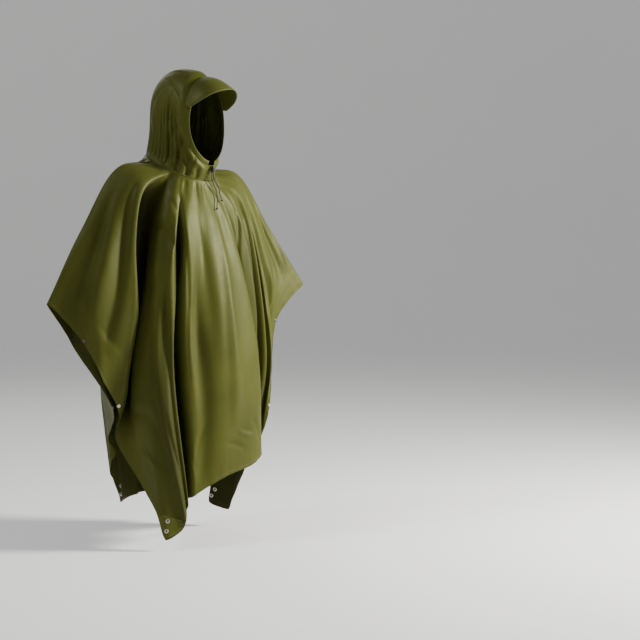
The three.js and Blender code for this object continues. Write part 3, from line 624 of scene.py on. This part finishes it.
def cloth_material(name, colour, shade, roughness, coat, crinkle=1.0, hems=(), thread=None, dull=0.0):
    """Coated cloth: blotchy colour, painted shade in folds and seams, satin roughness, crinkles, weave and
    stitch rows.
    """
    material = bpy.data.materials.new(name)
    material.use_nodes = True
    tree = material.node_tree
    surface = tree.nodes["Principled BSDF"]
    uv = tree.nodes.new("ShaderNodeUVMap")
    uv.uv_map = "cut"
    cut = uv.outputs["UV"]
    crinkles = use(tree, "crinkles")
    tree.links.new(cut, crinkles.inputs["Cut"])
    weave = use(tree, "weave")
    tree.links.new(cut, weave.inputs["Cut"])
    blotch = noise(tree, cut, 3.1, 3.0, 0.5)
    mix = tree.nodes.new("ShaderNodeMix")
    mix.data_type = "RGBA"
    tree.links.new(remap(tree, blotch, 0.35, 0.65), mix.inputs["Factor"])
    mix.inputs["A"].default_value = (*colour, 1)
    mix.inputs["B"].default_value = (*shade, 1)
    tint = mix.outputs["Result"]
    # Painted shade: the colour is mixed towards a tenth of the shade colour where the painted_shade
    # attribute is high, in folds, beside the sleeves and at the neck and visor seams.
    painted_shade = tree.nodes.new("ShaderNodeAttribute")
    painted_shade.attribute_name = "painted_shade"
    deep = tree.nodes.new("ShaderNodeMix")
    deep.data_type = "RGBA"
    tree.links.new(maths(tree, "MULTIPLY", painted_shade.outputs["Fac"], 0.9), deep.inputs["Factor"])
    tree.links.new(tint, deep.inputs["A"])
    deep.inputs["B"].default_value = (*[c * 0.10 for c in shade], 1)
    tint = deep.outputs["Result"]
    height = maths(tree, "MULTIPLY", crinkles.outputs["Height"], crinkle)
    height = maths(tree, "ADD", height, maths(tree, "MULTIPLY", weave.outputs["Height"], 0.006))
    if hems:
        edge = tree.nodes.new("ShaderNodeAttribute")
        edge.attribute_name = "hem"
        along = tree.nodes.new("ShaderNodeAttribute")
        along.attribute_name = "along"
        for distance in hems:
            row = use(tree, "stitches")
            tree.links.new(edge.outputs["Fac"], row.inputs["Edge"])
            tree.links.new(along.outputs["Fac"], row.inputs["Along"])
            row.inputs["Distance"].default_value = distance
            sunk = maths(tree, "MULTIPLY", row.outputs["Groove"], STITCH_DEPTH)
            height = maths(tree, "SUBTRACT", height, sunk)
            raised = maths(tree, "MULTIPLY", row.outputs["Thread"], STITCH_DEPTH)
            height = maths(tree, "ADD", height, raised)
            sewn = tree.nodes.new("ShaderNodeMix")
            sewn.data_type = "RGBA"
            tree.links.new(row.outputs["Thread"], sewn.inputs["Factor"])
            tree.links.new(tint, sewn.inputs["A"])
            sewn.inputs["B"].default_value = (*(thread or shade), 1)
            tint = sewn.outputs["Result"]
    bump = tree.nodes.new("ShaderNodeBump")
    bump.inputs["Strength"].default_value = 1.0
    bump.inputs["Distance"].default_value = 0.004
    tree.links.new(height, bump.inputs["Height"])
    tree.links.new(tint, surface.inputs["Base Color"])
    tree.links.new(bump.outputs["Normal"], surface.inputs["Normal"])
    satin = remap(tree, noise(tree, cut, 9.0, 4.0, 0.6), 0.3, 0.7, roughness - 0.04, roughness + 0.05)
    tree.links.new(satin, surface.inputs["Roughness"])
    surface.inputs["Specular IOR Level"].default_value = 0.2 - 0.6 * dull
    surface.inputs["Specular Tint"].default_value = (0.85, 0.92, 0.45, 1)
    surface.inputs["Sheen Weight"].default_value = 0.05
    surface.inputs["Sheen Roughness"].default_value = 0.4
    surface.inputs["Sheen Tint"].default_value = (0.8, 0.78, 0.5, 1)
    surface.inputs["Coat Weight"].default_value = coat
    surface.inputs["Coat Roughness"].default_value = 0.35
    return material


def plain_material(name, colour, roughness, metallic=0.0, wear=0.0, grain=300.0, depth=0.0002):
    """Metal, cord and moulded pieces, with a fine grain and worn, duller patches."""
    material = bpy.data.materials.new(name)
    material.use_nodes = True
    tree = material.node_tree
    surface = tree.nodes["Principled BSDF"]
    where = tree.nodes.new("ShaderNodeTexCoord").outputs["Object"]
    fine = noise(tree, where, grain, 3.0, 0.6)
    mix = tree.nodes.new("ShaderNodeMix")
    mix.data_type = "RGBA"
    worn = remap(tree, noise(tree, where, grain * 0.4, 3.0), 0.45, 0.7, 0.0, wear)
    tree.links.new(worn, mix.inputs["Factor"])
    mix.inputs["A"].default_value = (*colour, 1)
    mix.inputs["B"].default_value = (*[c * 0.45 for c in colour], 1)
    tree.links.new(mix.outputs["Result"], surface.inputs["Base Color"])
    satin = remap(tree, fine, 0.3, 0.7, roughness - 0.05, roughness + 0.08)
    tree.links.new(satin, surface.inputs["Roughness"])
    surface.inputs["Metallic"].default_value = metallic
    bump = tree.nodes.new("ShaderNodeBump")
    bump.inputs["Distance"].default_value = depth
    tree.links.new(fine, bump.inputs["Height"])
    tree.links.new(bump.outputs["Normal"], surface.inputs["Normal"])
    return material


OLIVE = (0.058, 0.062, 0.009)
OLIVE_DEEP = (0.044, 0.047, 0.007)
INSIDE = (0.036, 0.038, 0.009)
THREAD = (0.10, 0.105, 0.03)
outer_cloth = cloth_material("Outer cloth", OLIVE, OLIVE_DEEP, 0.47, 0.0, 0.55, (0.011,), THREAD)
hood_cloth = cloth_material("Hood cloth", OLIVE, OLIVE_DEEP, 0.47, 0.0, 0.55, (0.004, 0.0085), THREAD)
visor_cloth = cloth_material("Visor cloth", OLIVE, OLIVE_DEEP, 0.44, 0.0, 0.3, (0.004, 0.012), THREAD)
inner_cloth = cloth_material("Coated inside", INSIDE, INSIDE, 0.55, 0.0, 0.9, (0.011,), OLIVE_DEEP, 0.2)
edge_cloth = cloth_material("Edging cloth", OLIVE, OLIVE_DEEP, 0.45, 0.0, 0.4, (0.004,), THREAD)
metal = plain_material("Nickel plate", (0.42, 0.41, 0.37), 0.34, 1.0, 0.35, 260.0, 0.0002)
dark_metal = plain_material("Blackened metal", (0.10, 0.095, 0.085), 0.38, 1.0, 0.4, 260.0, 0.0002)
cord_black = plain_material("Cord and lock", (0.008, 0.008, 0.007), 0.75, 0.0, 0.3, 700.0, 0.0004)


def even_angles(start, end, count):
    """Angles between two rays, spaced evenly along the folded cloth."""
    a = np.linspace(start, end, 1500)
    line = sheet_point(wrap(a), 0.8)
    length = np.concatenate([[0], np.cumsum(np.linalg.norm(np.diff(line, axis=0), axis=1))])
    mixed = 0.65 * length / length[-1] + 0.35 * np.linspace(0, 1, len(a))
    return np.interp(np.linspace(0, 1, count + 1), mixed, a)


def fold_shade(angle, share):
    """How much shade is painted into the cloth's colour, from 0 to 1: painted shade in folds, beside the
    sleeves and along the neck seam.
    """
    lower = smooth(0.12, 0.4, share)
    shade_beside_left = 0.6 * np.exp(-(((angle - 33) / 8) ** 2)) * lower
    shade_beside_right = 0.5 * np.exp(-(((angle + 28) / 9) ** 2)) * smooth(0.25, 0.6, share)
    shade_at_neck = 0.6 * (1 - smooth(0.002, 0.006, share))
    return np.clip(smooth(4, 46, fold_depth(angle, share)) + shade_beside_left + shade_beside_right + shade_at_neck, 0, 1)


def sheet_panel(name, corners, counts, rows):
    parts = [even_angles(a, b, n) for a, b, n in zip(corners, corners[1:], counts)]
    angles = np.concatenate([p[:-1] for p in parts] + [parts[-1][-1:]])
    t = np.linspace(0, 1, rows)
    shares = t * t + (t - t * t) * (0.45 + 0.55 * t)
    a, s = np.meshgrid(angles, shares)
    a = wrap(a)
    grid = sheet_point(a, s)
    grid[0] += unit(grid[1] - grid[0]) * NECK_SHIFT
    left, forward = cut_place(a, s)
    side, end = HALF_WIDTH - np.abs(left), HALF_LENGTH - np.abs(forward)
    along = np.where(side < end, forward, left)
    # Shade is painted into the colour in the folds, beside the sleeves and along the neck seam.
    cloth = shell(name, grid, CLOTH, np.stack([left, forward], -1), np.minimum(side, end), along,
                  [outer_cloth, inner_cloth], painted_shade=fold_shade(a, s))
    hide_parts(name)
    return cloth


front = sheet_panel("front_panel", [-90, -CORNER, CORNER, 90], [84, 110, 76], 150)
back = sheet_panel("back_panel", [90, 180 - CORNER, 180 + CORNER, 270], [66, 96, 66], 140)

for side, half in (("right", -1), ("left", 1)):
    loop, around = np.meshgrid(np.linspace(0, 1, 150), np.linspace(0.0015, 0.9985, 140), indexing="ij")
    grid = hood_point(loop, around, half)
    cut = np.stack([around * HOOD_CUT, loop * HOOD_CUT], -1)
    hem = np.minimum((1 - around) * HOOD_CUT, (1 - loop) * HOOD_CUT)
    if half < 0:
        grid, cut, hem, around = (v[:, ::-1] for v in (grid, cut, hem, around))
    shell(f"hood_{side}", grid, CLOTH, cut, hem, cut[..., 0] + cut[..., 1],
                        [hood_cloth, inner_cloth])
    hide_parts(f"hood_{side}")

    round_at = np.linspace(0.05, 0.985, 150)
    casing_edge = hood_point(0.0, round_at, half)
    forward = unit(casing_edge - hood_point(0.04, round_at, half))
    across = np.linspace(CASING_WIDTH + 0.3, 0.3, 10)
    grid = casing_edge[None] + forward[None] * across[:, None, None]
    pucker = 1.1 + 0.35 * np.sin(round_at[None] * 190)
    bulge = np.sin(np.pi * (across[:, None] - 0.3) / CASING_WIDTH) * pucker
    lengthways = np.broadcast_to(round_at * CASING_RUN, bulge.shape)
    spread = np.stack([lengthways, np.broadcast_to(across[:, None], bulge.shape)], -1)
    if half < 0:
        grid, bulge, spread = grid[:, ::-1], bulge[:, ::-1], spread[:, ::-1]
    grid = grid + normals_of(grid) * bulge[..., None]
    casing = shell(f"edge_casing_{side}", grid, 1.2, spread, spread[..., 1], spread[..., 0],
                   [edge_cloth])
    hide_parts(f"edge_casing_{side}")

# The visor: a stiffened brim, arched from its seam on the brow to its free edge.
out, t = np.meshgrid(np.linspace(1, 0, 26), np.linspace(0, 1, 90), indexing="ij")
across = 2 * t - 1
quarter = across * math.pi / 2
seam_round = 1 + (0.6 - 1) * np.abs(across) ** 1.15
seam_right, seam_left = hood_point(0.05, seam_round, -1), hood_point(0.05, seam_round, 1)
seam = np.where((across < 0)[..., None], seam_right, seam_left)
seam = seam + unit(seam - np.array([0, -40, 120])) * 3.4
free_front = 106 + VISOR_REACH * np.cos(quarter)
free_up = 158 + VISOR_DROP * np.cos(quarter) ** 1.2
free = turned(point(VISOR_HALF * np.sin(quarter), free_front, free_up))
grid = seam + (free - seam) * out[..., None]
grid[..., 2] += VISOR_CROWN * np.sin(math.pi * out) * np.cos(quarter) + 0.8 * np.sin(9 * across) * out
cut = np.stack([t * VISOR_WIDTH, out * VISOR_DEPTH], -1)
hem = np.minimum((1 - out) * VISOR_DEPTH, np.minimum(t, 1 - t) * VISOR_WIDTH)
# Painted shade: a dark line along the visor's first few millimetres at its seam on the brow.
visor = shell("visor", grid, 2.2, cut, hem, t * VISOR_WIDTH, [visor_cloth],
              painted_shade=1 - smooth(1.5, 4.5, out * VISOR_DEPTH))
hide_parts("visor")


def lathe(name, profile, centre, facing, sides, material):
    """A turned piece on the cloth, from radius and height in millimetres."""
    spin = Vector(facing).to_track_quat("Z", "Y").to_matrix()
    verts, faces = [], []
    for r, h in profile:
        for k in range(sides):
            a = 2 * math.pi * k / sides
            verts.append((Vector(centre) + spin @ Vector((r * math.cos(a), r * math.sin(a), h))) * MM)
    count = len(profile)
    for i in range(count):
        j = (i + 1) % count
        for k in range(sides):
            m = (k + 1) % sides
            faces.append((i * sides + k, i * sides + m, j * sides + m, j * sides + k))
    mesh = bpy.data.meshes.new(name)
    mesh.from_pydata(verts, [], faces)
    mesh.shade_smooth()
    mesh.set_sharp_from_angle(angle=math.radians(35))
    mesh.materials.append(material)
    obj = bpy.data.objects.new(name, mesh)
    bpy.context.scene.collection.objects.link(obj)
    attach(obj, "root")
    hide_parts(name)
    return obj


def cut_point(left, forward):
    angle = math.degrees(math.atan2(left, forward))
    share = (math.hypot(left, forward) - NECK_RADIUS) / (float(reach(angle)) - NECK_RADIUS)
    return sheet_point(angle, min(share, 1.0))


def cut_facing(left, forward, span=5.0):
    across = cut_point(left + span, forward) - cut_point(left - span, forward)
    ahead = cut_point(left, forward + span) - cut_point(left, forward - span)
    return unit(np.cross(across, ahead))


CAP = [(0.01, 0.7), (6, 0.7), (6.3, 1.2), (5.9, 2.1), (4.6, 2.9), (2.6, 3.3), (0.01, 3.4)]
SOCKET = [(0.01, 0.7), (5.6, 0.7), (5.8, 1.3), (5.2, 1.9), (3.4, 2.0), (2.9, 1.4), (0.01, 1.4)]
UNDER = [(0.01, -0.7), (0.01, -2.0), (3.2, -2.0), (5.2, -1.6), (5.4, -0.7)]
RING = [(3.3, -1.8), (4.4, -2.0), (6.2, -1.4), (6.4, -1.0), (4.3, -0.9), (4.3, 1.7), (6.6, 1.8), (6.8, 2.3),
        (5.5, 3.0), (4.2, 3.1), (3.3, 2.5)]
NEAR = 60.0
for face, ahead in (("front", 1), ("back", -1)):
    for side, right in (("right", -1), ("left", 1)):
        corner = cut_point(right * (HALF_WIDTH - 1), ahead * (HALF_LENGTH - 1))
        on_hem = cut_point(right * (HALF_WIDTH - NEAR), ahead * (HALF_LENGTH - 1))
        on_side = cut_point(right * (HALF_WIDTH - 1), ahead * (HALF_LENGTH - NEAR))
        along_hem = np.linalg.norm(corner - on_hem) / NEAR
        along_side = np.linalg.norm(corner - on_side) / NEAR
        a, b = np.meshgrid(np.linspace(0.05, 1, 24), np.linspace(0, 1, 24), indexing="ij")
        x, y = PATCH_LEG * a * (1 - b) + PATCH_INSET, PATCH_LEG * a * b + PATCH_INSET
        left, forward = right * (HALF_WIDTH - x / along_hem), ahead * (HALF_LENGTH - y / along_side)
        angle = np.degrees(np.arctan2(left, forward))
        share = (np.hypot(left, forward) - NECK_RADIUS) / (reach(angle) - NECK_RADIUS)
        grid = sheet_point(angle, share)
        cut = np.stack([x, y], -1)
        edge = np.minimum(np.minimum(x, y) - PATCH_INSET, (1 - a) * 64)
        if right * ahead > 0:
            grid, cut, edge, x, y = (v[:, ::-1] for v in (grid, cut, edge, x, y))
        patch = shell(f"corner_patch_{face}_{side}", grid, 0.7, cut, edge, x - y, [edge_cloth],
                      raise_by=1.0)
        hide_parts(f"corner_patch_{face}_{side}")
        for k, inset in enumerate(EYELET_INSETS):
            place = right * (HALF_WIDTH - inset / along_hem), ahead * (HALF_LENGTH - inset / along_side)
            lathe(f"eyelet_{face}_{side}_{k + 1}", RING, cut_point(*place), cut_facing(*place),
                  40, metal)
        for state, forward_at in STUD_PLACES.items():
            place = right * (HALF_WIDTH - STUD_INSET), ahead * forward_at
            top = CAP if face == "front" else SOCKET
            finish = dark_metal if state == "open" else metal
            lathe(f"press_stud_{face}_{side}_{state}", top + UNDER[::-1], cut_point(*place),
                  cut_facing(*place), 32, finish)


def tube(name, path, radius, sides, material, closed=False):
    """A cord of round section along a path in millimetres."""
    path = [Vector(p) for p in path]
    count = len(path)
    up = Vector((0.3, 0.9, 0.2)).normalized()
    verts, faces = [], []
    for i, p in enumerate(path):
        ahead = path[(i + 1) % count] if closed or i < count - 1 else p
        behind = path[i - 1] if closed or i else p
        tangent = (ahead - behind).normalized()
        up = (up - tangent * up.dot(tangent)).normalized()
        side = tangent.cross(up)
        for k in range(sides):
            a = 2 * math.pi * k / sides
            verts.append((p + (up * math.cos(a) + side * math.sin(a)) * radius) * MM)
    for i in range(count if closed else count - 1):
        j = (i + 1) % count
        for k in range(sides):
            m = (k + 1) % sides
            faces.append((i * sides + k, j * sides + k, j * sides + m, i * sides + m))
    if not closed:
        faces += [tuple(range(sides))[::-1], tuple((count - 1) * sides + k for k in range(sides))]
    mesh = bpy.data.meshes.new(name)
    mesh.from_pydata(verts, [], faces)
    mesh.shade_smooth()
    mesh.materials.append(material)
    obj = bpy.data.objects.new(name, mesh)
    bpy.context.scene.collection.objects.link(obj)
    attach(obj, "root")
    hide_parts(name)
    return obj


# The cord lock at the throat, and the two free ends of the drawcord with their knots.
throat = hood_point(0.0, 0.0, 1)
lock_centre = throat + turned(point(0, 4.3, 0)) + np.array([0, 0, -11.0])
BARREL = [(0.01, -9), (4.3, -9), (5.4, -8.2), (6, -6.4), (6.0, 1.6), (5.4, 2.7), (4.0, 3.2),
          (3.7, 3.6), (3.7, 8.0), (3.0, 9), (0.01, 9)]
lathe("cord_lock", BARREL, lock_centre, (0, 0, 1), 40, cord_black)
CORD_ROUTES = {
    "right": [[23, 121, -32.3], [22, 121, -46], [27, 120, -62], [36, 120, -80], [42, 122, -98],
              [41, 125, -114], [36, 129, -128], [33, 132, -140]],
    "left": [[28, 120, -32.3], [30, 120, -46], [38, 118, -58], [48, 117, -72], [54, 119, -88],
             [55, 122, -102], [58, 125, -114]],
}
for side, route in CORD_ROUTES.items():
    points = np.array([[s, -f, u] for s, f, u in route], float)
    steps = np.concatenate([[0], np.cumsum(np.linalg.norm(np.diff(points, axis=0), axis=1))])
    places = np.linspace(0, steps[-1], 90)
    path = np.stack([curve(steps, points[:, k], places) for k in range(3)], -1)
    cord_obj = tube(f"cord_end_{side}", path, CORD_RADIUS, 14, cord_black)
    end = path[-1] + unit(path[-1] - path[-3]) * 3.6
    t = np.linspace(0, 2 * math.pi, 70, endpoint=False)
    knot_side, knot_front = np.sin(t) + 2 * np.sin(2 * t), np.cos(t) - 2 * np.cos(2 * t)
    knot_path = np.stack([knot_side, knot_front, -1.6 * np.sin(3 * t)], -1)
    knot = tube(f"cord_knot_{side}", end + knot_path * KNOT_SIZE, 1.3, 12, cord_black, closed=True)

# A pale studio: a floor that curves up all round, lit from the wearer's left with a weak fill.
scene = bpy.context.scene
pale = bpy.data.materials.new("Pale floor")
pale.use_nodes = True
pale_surface = pale.node_tree.nodes["Principled BSDF"]
pale_surface.inputs["Base Color"].default_value = (0.80, 0.80, 0.79, 1)
pale_surface.inputs["Roughness"].default_value = 0.9
pale_surface.inputs["Emission Color"].default_value = (1, 1, 1, 1)
pale_surface.inputs["Emission Strength"].default_value = 0.17
BOWL = [(0.001, -1.16), (9, -1.16), (11, -1.0), (13, -0.2), (14.4, 1.4), (15, 3.6), (15, 9)]
BOWL_SIDES = 64
bowl_points, bowl_faces = [], []
for radius, height in BOWL:
    for k in range(BOWL_SIDES):
        turn = 2 * math.pi * k / BOWL_SIDES
        bowl_points.append((radius * math.cos(turn), radius * math.sin(turn), height))
for i in range(len(BOWL) - 1):
    low_ring, high_ring = i * BOWL_SIDES, (i + 1) * BOWL_SIDES
    for k in range(BOWL_SIDES):
        m = (k + 1) % BOWL_SIDES
        bowl_faces.append((low_ring + k, low_ring + m, high_ring + m, high_ring + k))
floor_mesh = bpy.data.meshes.new("floor")
floor_mesh.from_pydata(bowl_points, [], bowl_faces)
floor_mesh.shade_smooth()
floor_mesh.materials.append(pale)
floor = bpy.data.objects.new("floor", floor_mesh)
scene.collection.objects.link(floor)
world = bpy.data.worlds.new("Studio")
world.use_nodes = True
world.node_tree.nodes["Background"].inputs["Color"].default_value = (0.96, 0.98, 1.0, 1)
world.node_tree.nodes["Background"].inputs["Strength"].default_value = 0.15
scene.world = world


def soft_light(name, place, size, power, colour=(1, 0.98, 0.94)):
    lamp = bpy.data.lights.new(name, "AREA")
    lamp.size = size
    lamp.energy = power
    lamp.color = colour
    obj = bpy.data.objects.new(name, lamp)
    obj.location = place
    obj.rotation_euler = (Vector((0, 0, -0.3)) - Vector(place)).to_track_quat("-Z", "Y").to_euler()
    scene.collection.objects.link(obj)


soft_light("key", (2.0, -2.2, 0.75), 0.6, 270)
soft_light("fill", (-2.2, 0.5, 2.3), 0.8, 46, (0.95, 0.98, 1))
soft_light("back", (1.5, 3.4, 2.2), 2.0, 25)

# The camera stands before the wearer's right side and looks a little down, past the middle.
VIEW_AZIMUTH = -40.0
VIEW_DISTANCE = 5.0
VIEW_HEIGHT = -0.2
AIM_BESIDE = 0.431
AIM_HEIGHT = -0.488
azimuth = math.radians(VIEW_AZIMUTH)
behind = Vector((math.sin(azimuth), -math.cos(azimuth), 0))
beside = Vector((math.cos(azimuth), math.sin(azimuth), 0))
camera = bpy.data.objects.new("Camera", bpy.data.cameras.new("Camera"))
camera.location = behind * VIEW_DISTANCE + Vector((0, 0, VIEW_HEIGHT))
aim = beside * AIM_BESIDE + Vector((0, 0, AIM_HEIGHT))
camera.rotation_euler = (camera.location - aim).to_track_quat("Z", "Y").to_euler()
camera.data.sensor_width = 36
camera.data.lens = 90.7
scene.collection.objects.link(camera)
scene.camera = camera
